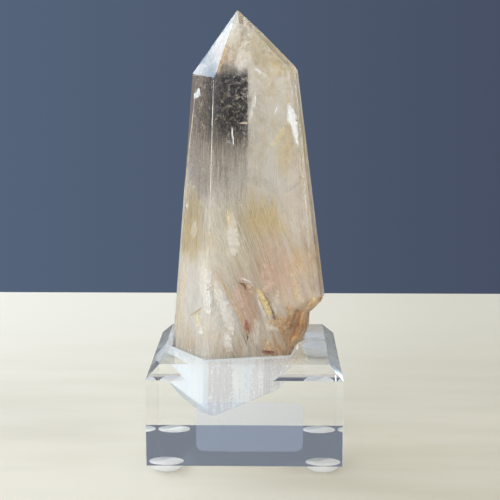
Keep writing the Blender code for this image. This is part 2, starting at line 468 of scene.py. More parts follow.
def make_camera():
    data = bpy.data.cameras.new("photo_camera")
    data.sensor_width = SENSOR
    data.lens = FOCAL_PIXELS / PHOTO_SIDE * SENSOR
    data.clip_start = 0.01
    data.clip_end = 20
    camera = bpy.data.objects.new("photo_camera", data)
    camera.location = CAMERA_PLACE
    camera.rotation_mode = "QUATERNION"
    camera.rotation_quaternion = CAMERA_LOOK.to_track_quat("-Z", "Y")
    bpy.context.scene.collection.objects.link(camera)
    bpy.context.scene.camera = camera


def make_floor():
    corners = [
        (-FLOOR_HALF_WIDTH, FLOOR_FRONT, 0), (FLOOR_HALF_WIDTH, FLOOR_FRONT, 0),
        (FLOOR_HALF_WIDTH, FLOOR_BACK, 0), (-FLOOR_HALF_WIDTH, FLOOR_BACK, 0),
    ]
    material, bench = new_material("pale_table")
    place = bench.place()
    grain = bench.noise(bench.vector("MULTIPLY", place, (12, 60, 1)), 1.0, 3.0)
    tone = bench.mix(bench.remap(grain, 0.35, 0.65), srgb(225, 221, 207), srgb(218, 214, 198))
    x, y, _ = bench.parts(place)
    # Painted light and shade: the table is lighter towards the back and darker towards the right, as the
    # light falls off.
    tone = bench.mix(bench.remap(y, 0.0, 0.2), tone, srgb(234, 232, 220))
    tone = bench.mix(bench.remap(x, -0.06, 0.11), tone, srgb(239, 238, 234), blend="MULTIPLY")
    table = bench.add("ShaderNodeBsdfPrincipled", {"Base Color": tone, "Roughness": 0.55})
    finish_surface(bench, table)
    floor = bpy.data.objects.new("floor", new_mesh("floor", corners, [(0, 1, 2, 3)], material))
    bpy.context.scene.collection.objects.link(floor)


def make_surroundings():
    """A slate wall with a dark strip above it, warm grey sides, a pale ceiling, and a window on the left."""
    world = bpy.data.worlds.new("room")
    world.use_nodes = True
    world.node_tree.nodes.clear()
    bench = Bench(world.node_tree)
    direction = bench.add("ShaderNodeTexCoord").outputs["Generated"]
    x, y, z = bench.parts(direction)
    wall = bench.mix(bench.remap(x, -0.22, 0.22, smooth=False), srgb(85, 100, 122), srgb(70, 78, 98))
    wall = bench.mix(bench.remap(z, 0.07, 0.34), wall, srgb(114, 123, 137))
    beside = bench.most(bench.remap(x, 0.23, 0.36), bench.remap(x, -0.26, -0.40), bench.remap(y, 0.3, 0.0))
    room = bench.mix(beside, wall, srgb(132, 124, 118))
    table = bench.times(bench.remap(z, -0.23, -0.24), beside)
    room = bench.mix(table, room, srgb(212, 208, 194))
    room = bench.mix(bench.remap(z, 0.38, 0.60), room, (0.58, 0.57, 0.53, 1))
    over_back = bench.times(bench.remap(y, 0.68, 0.72), bench.band(z, (0.6575, 0.6590), (0.72, 0.69)))
    room = bench.mix(over_back, room, (0.10, 0.12, 0.16, 1))
    room = bench.mix(bench.remap(z, 0.78, 0.92), room, (1.0, 0.99, 0.97, 1))
    left = bench.times(bench.remap(x, -0.45, -0.80), bench.remap(z, -0.25, -0.12))
    room = bench.mix(left, room, (0.34, 0.36, 0.40, 1))
    lamp = Vector(LAMPS["window"][0]).normalized()
    near_lamp = bench.vector("DOT_PRODUCT", direction, lamp)
    pane = bench.mix(bench.remap(z, 0.46, 0.56), (0.0, 0.1, 0.8, 1), (1.7, 2.8, 3.8, 1))
    room = bench.mix(bench.remap(near_lamp, 0.982, 0.992), room, pane)
    light = bench.add("ShaderNodeBackground", {"Color": room, "Strength": 1.0})
    bench.add("ShaderNodeOutputWorld", {"Surface": light})
    bpy.context.scene.world = world


def make_lamp(name, direction, distance, size, power, colour):
    data = bpy.data.lights.new(name, "AREA")
    data.shape = "RECTANGLE"
    data.size, data.size_y = size
    data.energy = power
    data.color = colour
    lamp = bpy.data.objects.new(name, data)
    aim = Vector(direction).normalized()
    lamp.location = aim * distance
    lamp.rotation_mode = "QUATERNION"
    lamp.rotation_quaternion = aim.to_track_quat("Z", "Y")
    bpy.context.scene.collection.objects.link(lamp)


def read_mark(bench, name):
    return bench.add("ShaderNodeAttribute", attribute_name=name).outputs["Fac"]


def quartz_material():
    """Polished facets, faintly rippled; worn along their edges, rough and rusty where it broke."""
    material, bench = new_material("quartz")
    place = bench.place()
    worn, broken = read_mark(bench, "worn"), read_mark(bench, "broken")
    grit = bench.noise(place, 700, 5.0, 0.7)
    patch = bench.noise(place, 320, 3.0, 0.6)
    rust = bench.mix(bench.remap(patch, 0.38, 0.6), srgb(255, 228, 180), srgb(216, 142, 72))
    colour = bench.mix(broken, (1, 1, 1, 1), rust)
    rough = bench.math("MULTIPLY_ADD", bench.remap(grit, 0.35, 0.65, 0.12, 0.5), broken, 0.02)
    rough = bench.math("MULTIPLY_ADD", worn, 0.4, rough, clamp=True)
    ripple = bench.noise(place, 180, 2.0)
    height = bench.math("MULTIPLY_ADD", bench.times(grit, broken), 6.0, ripple)
    relief = bench.add("ShaderNodeBump", {"Height": height, "Strength": 0.06, "Distance": 0.0004})
    inputs = {"Base Color": colour, "Roughness": rough, "IOR": QUARTZ_IOR, "Normal": relief}
    finish_glass(bench, inputs, (0.93, 0.92, 0.90, 1), (0.54, 0.47, 0.38, 1), 18.0)
    return material


def merged_copy(node):
    """A bmesh of a CAD node with its loose triangles joined up."""
    form = bmesh.new()
    form.from_mesh(node.data)
    bmesh.ops.remove_doubles(form, verts=form.verts, dist=MERGE_DISTANCE)
    form.normal_update()
    return form


def give_skin(piece, thickness):
    """Gives a thin sheet its thickness, half of it to each side."""
    shell = piece.modifiers.new("skin", "SOLIDIFY")
    shell.thickness = thickness
    shell.offset = 0.0


def split_long_edges(form, mark, longest, rounds):
    """Cuts the long edges of the marked faces in half, a few times over."""
    for _ in range(rounds):
        edges = {edge for face in form.faces if face[mark] for edge in face.edges}
        long = [edge for edge in edges if edge.calc_length() > longest]
        bmesh.ops.subdivide_edges(form, edges=long, cuts=1)
        bmesh.ops.triangulate(form, faces=[face for face in form.faces if len(face.verts) > 3])
    form.normal_update()


def make_tower(node, crystal, material):
    """The tower as it is seen: its break gets ledges, and its eased edges are marked as worn."""
    form = merged_copy(node)
    rough = form.faces.layers.int.new("rough")
    broken = form.loops.layers.float.new("broken")
    worn = form.loops.layers.float.new("worn")
    def facet_depth(face):
        return crystal.depth(np.array([face.calc_center_median()]))[0]
    for face in form.faces:
        face[rough] = int(facet_depth(face) > BREAK_DEPTH)
    split_long_edges(form, rough, BREAK_EDGE, BREAK_CUTS)
    for vertex in form.verts:
        if all(face[rough] for face in vertex.link_faces):
            place = vertex.co / BREAK_LEDGE
            fine = abs(noise.noise(place * BREAK_FINE_SCALE))
            ledge = abs(noise.noise(place)) + BREAK_FINE_SHARE * fine
            vertex.co -= vertex.normal * BREAK_RELIEF * ledge
    form.normal_update()
    for face in form.faces:
        face.smooth = bool(face[rough])
        is_worn = not face[rough] and facet_depth(face) > WORN_WIDTH
        for loop in face.loops:
            loop[broken] = float(face[rough])
            loop[worn] = float(is_worn)
    form.faces.layers.int.remove(rough)
    piece = place_piece("tower", mesh_of(form, "tower", material))
    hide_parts("quartz_tower")


def acrylic_material():
    """Clear acrylic, polished but for its two side chamfers, which are satin."""
    material, bench = new_material("acrylic")
    place = bench.place_mm()
    x, _, z = bench.parts(place)
    past_side = bench.math("SUBTRACT", bench.plus(bench.math("ABSOLUTE", x), z), SIDE_CHAMFER)
    swirl = bench.noise(place, 0.35, 3.0, 0.6)
    satin = bench.times(bench.remap(past_side, 0.05, 0.2), bench.remap(swirl, 0.3, 0.7, 0.10, 0.26))
    inputs = {"Base Color": (1, 1, 1, 1), "Roughness": satin, "IOR": ACRYLIC_IOR}
    finish_glass(bench, inputs, (0.89, 0.87, 0.83, 1), (0.9, 0.95, 0.97, 1), 2.0)
    return material


def on_hull(form, face):
    """Whether a face lies on the outside of a form whose outer shape bulges everywhere."""
    centre = face.calc_center_median()
    return max((vertex.co - centre).dot(face.normal) for vertex in form.verts) < FROST_OUTSIDE


def make_block(node, material):
    """The block with its long outer edges eased, so they catch the light as polished ones do."""
    form = merged_copy(node)
    bmesh.ops.dissolve_limit(form, angle_limit=BLOCK_FLAT_TURN, verts=form.verts, edges=form.edges)
    outer = {face for face in form.faces if on_hull(form, face)}
    edges = [
        edge for edge in form.edges
        if all(face in outer for face in edge.link_faces) and edge.calc_face_angle(0.0) > BLOCK_EDGE_TURN
    ]
    bmesh.ops.bevel(form, geom=edges, offset=BLOCK_EDGE, segments=2, profile=0.5, affect="EDGES")
    bmesh.ops.triangulate(form, faces=form.faces)
    piece = place_piece("clear_block", mesh_of(form, "clear_block", material))
    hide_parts("acrylic_base")


def bumper_material():
    """Clear soft pads, clouded by the glue and the table under them."""
    material, bench = new_material("bumper")
    cloud = bench.noise(bench.place_mm(), 0.7, 3.0)
    tone = bench.mix(bench.remap(cloud, 0.35, 0.65), srgb(246, 249, 251), srgb(253, 254, 255))
    finish_surface(bench, soft_surface(bench, tone, 0.2))
    return material


def make_pad(name, node, material):
    """A pad with the glue on its top, which wets the block's underside and so shows through it."""
    form = merged_copy(node)
    for vertex in form.verts:
        if vertex.co.z > PAD_GLUE_FROM:
            vertex.co.z = GLUE_TOP
    mesh = mesh_of(form, name + "_glued", material)
    mesh.shade_smooth()
    mesh.set_sharp_from_angle(angle=PAD_EDGE_TURN)
    piece = place_piece(name + "_glued", mesh)
    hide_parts(name)


def label_material():
    """A bare frosted film: it shows only as a paler veil over what is dark behind it."""
    material, bench = new_material("label")
    speckle = bench.noise(bench.place(), 2600.0, 2.0, 0.7)
    cover = bench.remap(speckle, 0.3, 0.7, 0.10, 0.18)
    film = bench.add("ShaderNodeBsdfPrincipled", {"Base Color": srgb(192, 208, 238), "Roughness": 0.5})
    finish_surface(bench, thin_out(bench, film, cover))
    return material


def frost_material():
    """The milled wall of the socket: white and ridged, and patchy where it lies flat against the front."""
    material, bench = new_material("frost")
    place = bench.place_mm()
    x, y, z = bench.parts(place)
    ridges = bench.noise(bench.vector("MULTIPLY", place, (1.6, 1.6, 0.1)), 1.0, 3.0, 0.6)
    chips = bench.noise(bench.vector("MULTIPLY", place, (1.0, 1.0, 0.8)), 1.0, 4.0, 0.7)
    crumbs = bench.noise(place, 1.9, 4.0, 0.75)
    rough_strip = bench.times(bench.band(x, (-4.6, -2.6), (3.2, 1.2)), bench.remap(z, 15.0, 22.0, 0.4, 1.0))
    patchy = bench.plus(
        bench.times(ridges, 0.5), bench.times(chips, 0.7), bench.times(crumbs, 0.5),
        bench.times(rough_strip, 0.17),
    )
    front = bench.times(bench.remap(x, FROST_CORNER - 0.3, FROST_CORNER + 0.3), bench.remap(y, -4.0, -8.0))
    lip = bench.remap(z, 31.2, 31.7)
    white_share = bench.most(bench.remap(patchy, 0.85, 0.97), lip, bench.math("SUBTRACT", 1.0, front))
    white_tone = bench.mix(bench.remap(ridges, 0.3, 0.7), srgb(243, 249, 255), srgb(252, 255, 255))
    stain = bench.mix(bench.remap(ridges, 0.35, 0.65), srgb(242, 243, 246), srgb(252, 253, 255))
    tone = bench.mix(white_share, stain, white_tone)
    thinner = bench.remap(x, 3.0, 8.0, 0.0, 0.3)
    cover = bench.math("SUBTRACT", bench.remap(white_share, 0.0, 1.0, 0.76, 0.97, smooth=False), thinner)
    finish_surface(bench, cloudy_surface(bench, tone, cover, 0.7, 0.45))
    return material


def make_frost(block, material):
    """The socket's frosted skin: the block's own faces, sunk a little into its wall and ridged."""
    form = merged_copy(block)
    outside = [face for face in form.faces if on_hull(form, face)]
    bmesh.ops.delete(form, geom=outside, context="FACES")
    form.normal_update()
    rim = [edge for edge in form.edges if edge.is_boundary]
    outward = {
        vertex: -sum((face.normal for face in vertex.link_faces), Vector())
        for edge in rim for vertex in edge.verts
    }
    lip = bmesh.ops.extrude_edge_only(form, edges=rim)["geom"]
    for vertex in (part for part in lip if isinstance(part, bmesh.types.BMVert)):
        away = min(outward, key=lambda old: (old.co - vertex.co).length)
        step = Vector((outward[away].x, outward[away].y, 0)).normalized() * (FROST_LIP + FROST_SINK)
        vertex.co += step + Vector((0, 0, FROST_LIP_RISE))
    bmesh.ops.recalc_face_normals(form, faces=form.faces)
    bmesh.ops.triangulate(form, faces=form.faces)
    for _ in range(FROST_CUTS):
        long = [edge for edge in form.edges if edge.calc_length() > FROST_EDGE]
        bmesh.ops.subdivide_edges(form, edges=long, cuts=1)
        bmesh.ops.triangulate(form, faces=form.faces)
    form.normal_update()
    middle = crystal_axis(BLOCK_MIDDLE)
    wall = max(form.faces, key=lambda face: face.calc_area())
    turn = 1.0 if wall.normal.dot(middle - wall.calc_center_median()) > 0 else -1.0
    for vertex in form.verts:
        if vertex.co.z < BLOCK_TOP - FROST_OUTSIDE:
            place = Vector((vertex.co.x, vertex.co.y, vertex.co.z * FROST_SQUEEZE))
            ridge = noise.noise(place / FROST_RIDGE)
            vertex.co -= vertex.normal * turn * (FROST_SINK + FROST_DEPTH * ridge)
    mesh = mesh_of(form, "socket_frosting", material)
    mesh.shade_smooth()
    piece = place_piece("socket_frosting", mesh)
    give_skin(piece, FROST_SKIN)


def haze_group(run_group):
    """How thick the haze of hair is at each place: 0 clear, 1 closed."""
    sockets = [("Body", "NodeSocketFloat", 1.0), ("Smoke", "NodeSocketFloat", 1.0)]
    bench, source = new_group("haze_amount", sockets, [("Amount", "NodeSocketFloat")])
    runs = use_group(bench, run_group)
    place, run = runs["Place"], runs["Run"]
    x, _, z = bench.parts(place)
    broad = bench.noise(run, 0.45, 3.0, 0.6)
    fine = bench.noise(run, 2.2, 4.0, 0.7)
    hairs = bench.noise(bench.vector("MULTIPLY", run, (1, 1, 0.6)), 6.0, 2.0, 0.6)
    ragged = bench.times(bench.math("SUBTRACT", fine, 0.5), HAZE_RAGGED)
    low = bench.remap(bench.plus(z, ragged), HAZE_TOP, HAZE_BOTTOM)
    streak = bench.plus(
        bench.remap(broad, 0.3, 0.65, 0.62, 0.92), bench.remap(hairs, 0.35, 0.65, -0.14, 0.16)
    )
    swirl = bench.noise(place, 0.13, 4.0, 0.62, 1.6)
    right = bench.times(bench.remap(x, SEAM, SEAM + 0.2), bench.remap(swirl, 0.3, 0.62, 0.5, 1.0))
    tip = bench.times(bench.remap(z, 111.0, 115.0), bench.remap(swirl, 0.32, 0.6, 0.3, 1.0))
    tip = bench.times(tip, bench.remap(x, -9.5, -6.0, 0.3, 1.0))
    upper = bench.times(bench.most(right, tip), UPPER_HAZE)
    body = bench.times(bench.most(bench.times(low, streak), upper), source.outputs["Body"])
    clump = bench.noise(place, 0.2, 2.0, 0.5, 0.5)
    clump = bench.most(bench.remap(clump, 0.42, 0.58, 0.12, 1.0), bench.remap(z, 104.0, 110.0, 0.0, 0.7))
    speck = bench.plus(bench.noise(place, *SPECK_NOISE), bench.remap(x, *FACE_EDGE, 0.06, 0.0))
    clear_left = bench.band(x, (-10.5, -9.5), (-3.0, -6.5))
    clear_left = bench.times(clear_left, bench.band(z, (96.0, 103.0), (111.0, 109.0)))
    smoke = bench.times(
        bench.remap(speck, 0.56, 0.61), clump, bench.remap(clear_left, 0.0, 1.0, 1.0, 0.25),
        source.outputs["Smoke"], SMOKE_HAZE,
    )
    # Painted shade: a veil over the upper crystal, thicker in the clear window, where its tint is dark so
    # that it darkens the view through.
    window = bench.times(
        bench.remap(x, *FACE_EDGE), bench.remap(x, SEAM, SEAM - 0.5), bench.remap(z, *SHOULDER)
    )
    veil = bench.math("MULTIPLY_ADD", window, WINDOW_PAINTED_SHADE, WINDOW_VEIL)
    veil = bench.times(bench.remap(z, *VEIL_FOOT), veil)
    cloud = bench.math("MAXIMUM", body, smoke, clamp=True)
    bench.add("NodeGroupOutput", {"Amount": bench.most(cloud, veil)})
    return bench.tree


def soft_surface(bench, colour, roughness, glow_share=0.5):
    """A skin that sends light back and also glows through."""
    silk = bench.add("ShaderNodeBsdfPrincipled", {"Base Color": colour, "Roughness": roughness})
    glow = bench.add("ShaderNodeBsdfTranslucent", {"Color": colour})
    return bench.add("ShaderNodeMixShader", {0: glow_share, 1: silk, 2: glow})


def thin_out(bench, surface, cover):
    """Keeps a surface over a share of its area and leaves the rest clear."""
    gap = bench.add("ShaderNodeBsdfTransparent")
    return bench.add("ShaderNodeMixShader", {0: cover, 1: gap, 2: surface})


def cloudy_surface(bench, colour, cover, roughness, glow_share=0.5):
    """A soft see-through skin: it scatters light both ways and lets the rest through."""
    return thin_out(bench, soft_surface(bench, colour, roughness, glow_share), cover)


def haze_material(name, tint, haze, body, smoke):
    """A see-through skin that is as thick as the haze is there."""
    material, bench = new_material(name)
    colour = use_group(bench, tint)["Color"]
    amount = use_group(bench, haze, body=body, smoke=smoke)["Amount"]
    finish_surface(bench, cloudy_surface(bench, colour, amount, 0.6))
    return material


# Leaves: clouds and healed cracks that lie flat under the front, with painted highlights on inner fractures
# and along edges, and painted shadow lines beside some cracks. Each kind has its dark and light colour, how
# far it closes in the middle, its roughness, how much it glows through and how deep it lies in millimetres.
# Each leaf is a line of points: across, up and half width in millimetres, seen from the front.
LEAF_KINDS = {
    "milk": (thick(236, 228, 214), thick(252, 248, 240), 0.88, 0.5, 0.5, 1.6),
    "cloud": (thick(206, 200, 186), thick(236, 233, 224), 0.4, 0.5, 0.5, 1.5),
    # The next kind is painted highlight: white flakes and lines where inner fractures and edges catch the
    # light.
    "painted_glint": (srgb(240, 246, 250), srgb(255, 255, 255), 1.0, 0.15, 0.1, 0.6),
    # The next kind draws pale lines along facet edges as painted highlight, and one cream notch.
    "edge": (srgb(214, 194, 160), srgb(246, 240, 226), 0.8, 0.3, 0.3, 0.12),
    "gold": (thick(150, 118, 62), thick(226, 208, 150), 0.85, 0.3, 0.2, 1.2),
    "honey": (thick(196, 164, 104), thick(232, 208, 160), 0.3, 0.5, 0.5, 1.3),
    "brown": (thick(130, 97, 68), thick(190, 162, 126), 0.6, 0.4, 0.4, 1.2),
    "umber": (thick(96, 70, 48), thick(150, 116, 82), 0.8, 0.5, 0.3, 1.0),
    "rust": (thick(214, 142, 82), thick(246, 204, 146), 0.8, 0.5, 0.5, 0.35),
    "pink": (thick(206, 163, 146), thick(226, 194, 178), 0.5, 0.5, 0.5, 1.6),
    "red": (srgb(150, 92, 80), srgb(196, 136, 118), 0.8, 0.4, 0.2, 1.0),
    # The next kind is partly dark crack lines and partly painted shadow beside cracks.
    "crack_and_shadow": (srgb(62, 42, 32), srgb(126, 88, 60), 0.9, 0.4, 0.1, 0.9),
}
LEAVES = {
    "milk": [
        [(-8.9, 57, 0.5), (-6.8, 49.4, 2), (-4.6, 43.1, 2.2), (-2.9, 38, 0.8)],
        [(-5.6, 40, 0.7), (-4.8, 36.5, 1.5), (-3.6, 33.6, 0.8)],
        [(-4.4, 76, 0.6), (-3.7, 71, 2), (-3.2, 65, 2.3), (-3, 60.5, 0.8)],
        [(-14.8, 45, 0.5), (-14, 41.5, 1.2), (-12.8, 38, 0.6)],
        [(5.9, 41.6, 0.3), (8.2, 40.6, 0.9), (10.4, 39.2, 0.4)],
    ],
    "cloud": [
        [(0.5, 124, 0.8), (-1.2, 119, 1.8), (-1.6, 113, 0.9)],
        [(3, 121, 1), (0.5, 118.5, 2), (-1, 114.5, 1)],
        [(2.8, 115.5, 0.3), (4.6, 113.6, 0.8), (6.4, 112.4, 0.4)],
        [(3.2, 109, 0.3), (2.2, 104, 0.8), (1.4, 99, 0.4)],
        [(10, 52, 0.8), (8.5, 46, 1.8), (6.8, 38.5, 0.9)],
        [(-15.2, 71.5, 0.5), (-15.4, 68.6, 1.5), (-15.8, 65.5, 0.5)],
        [(-12.5, 60, 1), (-11.6, 53, 2.8), (-10.6, 44, 1.4)],
        [(3.2, 44, 0.5), (3.6, 39.5, 1.6), (3.4, 35, 0.7)],
    ],
    # Painted highlights: white flakes and lines for light caught by inner fractures and by the right edge.
    "painted_glint": [
        [(12.4, 105.6, 0.5), (13.2, 101, 1.7), (14.4, 96.6, 1.1), (15.3, 92, 0.25)],
        [
            (-15.1, 105.2, 0.2), (-14.7, 107.6, 0.6), (-14.2, 106.6, 0.6), (-13.7, 109.2, 0.5),
            (-13.2, 106, 0.2),
        ],
        [(-3.7, 99, 0.1), (-3.5, 96, 0.35), (-3.1, 92.8, 0.1)],
        [(2.9, 107.6, 0.05), (3, 105.8, 0.18), (2.7, 103.6, 0.05)],
        [(3.1, 115.2, 0.08), (4.4, 113.9, 0.26), (5.8, 113.2, 0.08)],
        [(9.4, 104.6, 0.08), (8.8, 103, 0.3), (8.4, 101.6, 0.08)],
        [(-17.6, 75.8, 0.15), (-17.4, 75, 0.4), (-17.5, 74.2, 0.15)],
        [(-2.2, 54.9, 0.08), (-0.6, 55.2, 0.16), (1.5, 54.2, 0.18), (2.9, 51.9, 0.08)],
        [(-10.3, 52, 0.08), (-10.2, 49.5, 0.2), (-9.9, 46.5, 0.08)],
        [(3, 51.6, 0.08), (4, 48.4, 0.22), (5.2, 45.4, 0.22), (6.6, 42.8, 0.08)],
        [(16.2, 99, 0.06), (17.4, 84, 0.12), (18.4, 66, 0.06)],
    ],
    # Painted highlights: the first, third and fourth are pale lines along facet edges where they catch the
    # light; the second is a cream notch.
    "edge": [
        [
            (-8.85, 113.4, 0.12), (-9.3, 100, 0.17), (-9.65, 87, 0.16), (-10.05, 72, 0.14),
            (-10.4, 58, 0.08),
        ],
        [(-1.9, 99.4, 0.15), (-0.5, 99.6, 0.5), (0.9, 99.6, 0.5)],
        [(-14.2, 110.5, 0.14), (-16.5, 92, 0.2), (-18.2, 77, 0.2), (-19.6, 60, 0.12)],
        [(15.6, 101, 0.1), (17.2, 84, 0.16), (18.3, 66, 0.16), (18.9, 56, 0.08)],
    ],
    "gold": [
        [(3.2, 52.4, 0.3), (4.9, 49.6, 1.3), (6.5, 46.8, 1.9), (7.8, 43, 0.7)],
        [(-4.9, 75.8, 0.2), (-4.7, 72.6, 0.6), (-4.2, 69.6, 0.2)],
        [(-16.9, 42.2, 0.1), (-14.9, 44.4, 0.4), (-12.8, 46.6, 0.1)],
        [(-15.2, 44.6, 0.2), (-14.2, 42.6, 0.8), (-13.6, 40.2, 0.2)],
        [(3.2, 52.2, 0.2), (4.6, 51.2, 0.5), (5.6, 49.8, 0.2)],
    ],
    "honey": [
        [(13.4, 57, 0.4), (15, 52, 1.2), (16.6, 47, 0.6)],
        [(11.8, 98.6, 0.5), (9.4, 95.2, 1.3), (6.8, 92.4, 0.5)],
        [(7.2, 117.2, 0.4), (9, 114.8, 1.4), (11.4, 113.2, 0.6)],
        [(-1, 121.6, 0.15), (1.6, 122.8, 0.4), (4.2, 124, 0.15)],
        [(5, 50, 0.4), (7, 46.6, 1), (8.2, 43.4, 0.5)],
    ],
    "brown": [
        [(-9.4, 59.6, 0.15), (-5.7, 52.9, 0.45), (-2.3, 46.6, 0.45), (-0.3, 42, 0.4), (0.5, 38.2, 0.3)],
        [(5.6, 37.4, 0.4), (7, 36, 1), (8, 34.6, 0.5)],
        [(6.4, 42.6, 1.2), (10.6, 41.6, 2.6), (14.6, 39.4, 2)],
        [(4.4, 35.2, 0.5), (7.2, 34.4, 1.3), (10.4, 33.4, 0.6)],
        [(-0.4, 53.8, 0.4), (1.6, 52.4, 0.9), (2.6, 50, 0.6)],
        [(0, 92.2, 0.06), (2.2, 93.5, 0.16), (4.9, 92.7, 0.06)],
        [(0.7, 90.6, 0.06), (3, 91.8, 0.14), (5.4, 90.9, 0.06)],
        [(-5.6, 121.6, 0.2), (-7, 117.6, 1.2), (-8, 113.8, 0.8)],
        [(12.6, 47.6, 0.6), (13.8, 44, 1.5), (14.6, 41, 0.8)],
    ],
    "umber": [
        [(16.2, 45.4, 0.5), (14.2, 42.6, 2), (12.4, 39, 0.9)],
        [(10.2, 41, 0.2), (10.8, 39, 0.6), (10.4, 37, 0.2)],
    ],
    "rust": [
        [(20.8, 49, 0.6), (19.4, 46.8, 1.4), (18, 44.6, 0.6)],
        [(17.2, 44.6, 0.5), (16.8, 41.6, 0.8), (16.4, 38.6, 0.6)],
        [(16.6, 37.6, 0.7), (14.8, 36.2, 1.2), (13, 34.8, 0.6)],
    ],
    "pink": [
        [(-2.6, 54.4, 1.2), (-1.6, 49, 2.9), (-0.1, 43.6, 2.3), (1, 39.4, 0.7)],
        [(6, 61, 1), (6.4, 55, 2.6), (7.4, 49, 1)],
    ],
    "red": [
        [(0.3, 43.6, 0.3), (0.7, 41, 1.1), (1, 38.4, 0.4)],
        [(4.6, 33.8, 0.3), (6.6, 33.3, 0.9), (9, 33.2, 0.3)],
    ],
    # Dark crack lines and painted shadow: the first lies beside the gold wedge and the third under the white
    # crescent, as painted shadow.
    "crack_and_shadow": [
        [(5.2, 51.2, 0.06), (6.6, 48.8, 0.16), (7.9, 45.6, 0.22), (8.7, 43.2, 0.5), (8.8, 42.2, 0.15)],
        [(0.4, 39, 0.08), (1, 38, 0.3), (0.6, 37, 0.08)],
        [(-2, 54.2, 0.1), (-0.2, 53.4, 0.45), (0.6, 51.6, 0.15)],
        [(-17, 42.6, 0.05), (-14.6, 44.8, 0.12), (-12.4, 47.2, 0.05)],
        [(5.2, 34, 0.1), (7, 33.4, 0.4), (9, 33.3, 0.1)],
        [(-0.9, 39.6, 0.05), (0.4, 36.6, 0.14), (0.8, 35.2, 0.05)],
    ],
}


def leaf_material(kind, run_group):
    """A leaf that is closed in its middle and thins out raggedly towards its rim."""
    dark, light, closed, roughness, glow_share, _ = LEAF_KINDS[kind]
    material, bench = new_material("leaf_" + kind)
    runs = use_group(bench, run_group)
    grain = bench.noise(runs["Run"], 2.6, 4.0, 0.7)
    specks = bench.noise(runs["Place"], 1.6, 4.0, 0.7)
    ragged = bench.times(bench.math("SUBTRACT", grain, 0.5), 1.1)
    ragged = bench.plus(read_mark(bench, "rim"), ragged)
    cover = bench.remap(ragged, 0.1, 1.1, 0.0, closed)
    colour = bench.mix(bench.remap(specks, 0.32, 0.66), dark, light)
    finish_surface(bench, cloudy_surface(bench, colour, cover, roughness, glow_share))
    return material


def make_leaves(kind, crystal, material):
    """All leaves of one kind, as one piece of thin crumpled sheets."""
    depth = LEAF_KINDS[kind][-1]
    rows = np.linspace(0, 1, LEAF_ROWS)
    columns = np.linspace(-1, 1, LEAF_COLUMNS)
    verts, faces, rims = [], [], []
    for n, leaf in enumerate(LEAVES[kind]):
        points = np.array(leaf)
        steps = np.linspace(0, 1, len(points))
        x, z, half = (np.interp(rows, steps, points[:, part]) for part in range(3))
        along_x, along_z = np.gradient(x), np.gradient(z)
        length = np.hypot(along_x, along_z)
        start = len(verts)
        for row in range(LEAF_ROWS):
            for side in columns:
                spot = Vector((x[row], z[row], LEAF_APART * n + side))
                jag = noise.noise(spot * LEAF_CRUMPLE_SCALE)
                reach = side * half[row] * (1 + LEAF_CRUMPLE * jag)
                px = x[row] - along_z[row] / length[row] * reach
                pz = z[row] + along_x[row] / length[row] * reach
                lift = noise.noise(Vector((px, pz, n)) * LEAF_LIFT_SCALE) * min(half[row], LEAF_LIFT_WIDTH)
                verts.append(crystal.under_front(px, pz, depth + LEAF_LIFT * lift))
                ends = min(1.0, LEAF_END_RISE * rows[row], LEAF_END_RISE * (1 - rows[row]))
                rims.append((1 - side * side) * ends)
        for row in range(LEAF_ROWS - 1):
            for column in range(LEAF_COLUMNS - 1):
                corner = start + row * LEAF_COLUMNS + column
                faces.append((corner, corner + 1, corner + LEAF_COLUMNS + 1, corner + LEAF_COLUMNS))
    mesh = new_mesh("leaves_" + kind, verts, faces, material)
    mesh.attributes.new("rim", "FLOAT", "POINT").data.foreach_set("value", rims)
    mesh.shade_smooth()
    piece = place_piece("leaves_" + kind, mesh)
    give_skin(piece, LEAF_SKIN)


def hair_material(name, tint, pale, pale_share):
    """Hair of the colour where it grows, each strand mixed more or less with a colour of its own."""
    material, bench = new_material(name)
    colour = use_group(bench, tint, streaks=HAIR_STREAKS)["Color"]
    tone = read_mark(bench, "tone")
    low, high = pale_share - HAIR_TONE_SPREAD, pale_share + HAIR_TONE_SPREAD
    share = bench.remap(tone, 0.0, 1.0, low, high, smooth=False)
    finish_surface(bench, soft_surface(bench, bench.mix(share, colour, pale), 0.35))
    return material


def smooth_step(low, high, value):
    """0 below low, 1 above high, with a soft rise between them."""
    share = np.clip((value - low) / (high - low), 0, 1)
    return share * share * (3 - 2 * share)


def crystal_axis(height):
    """A point well inside the crystal at each height."""
    share = height / TIP_HEIGHT
    return Vector((TIP_SHIFT[0] * share, TIP_SHIFT[1] * share, height))


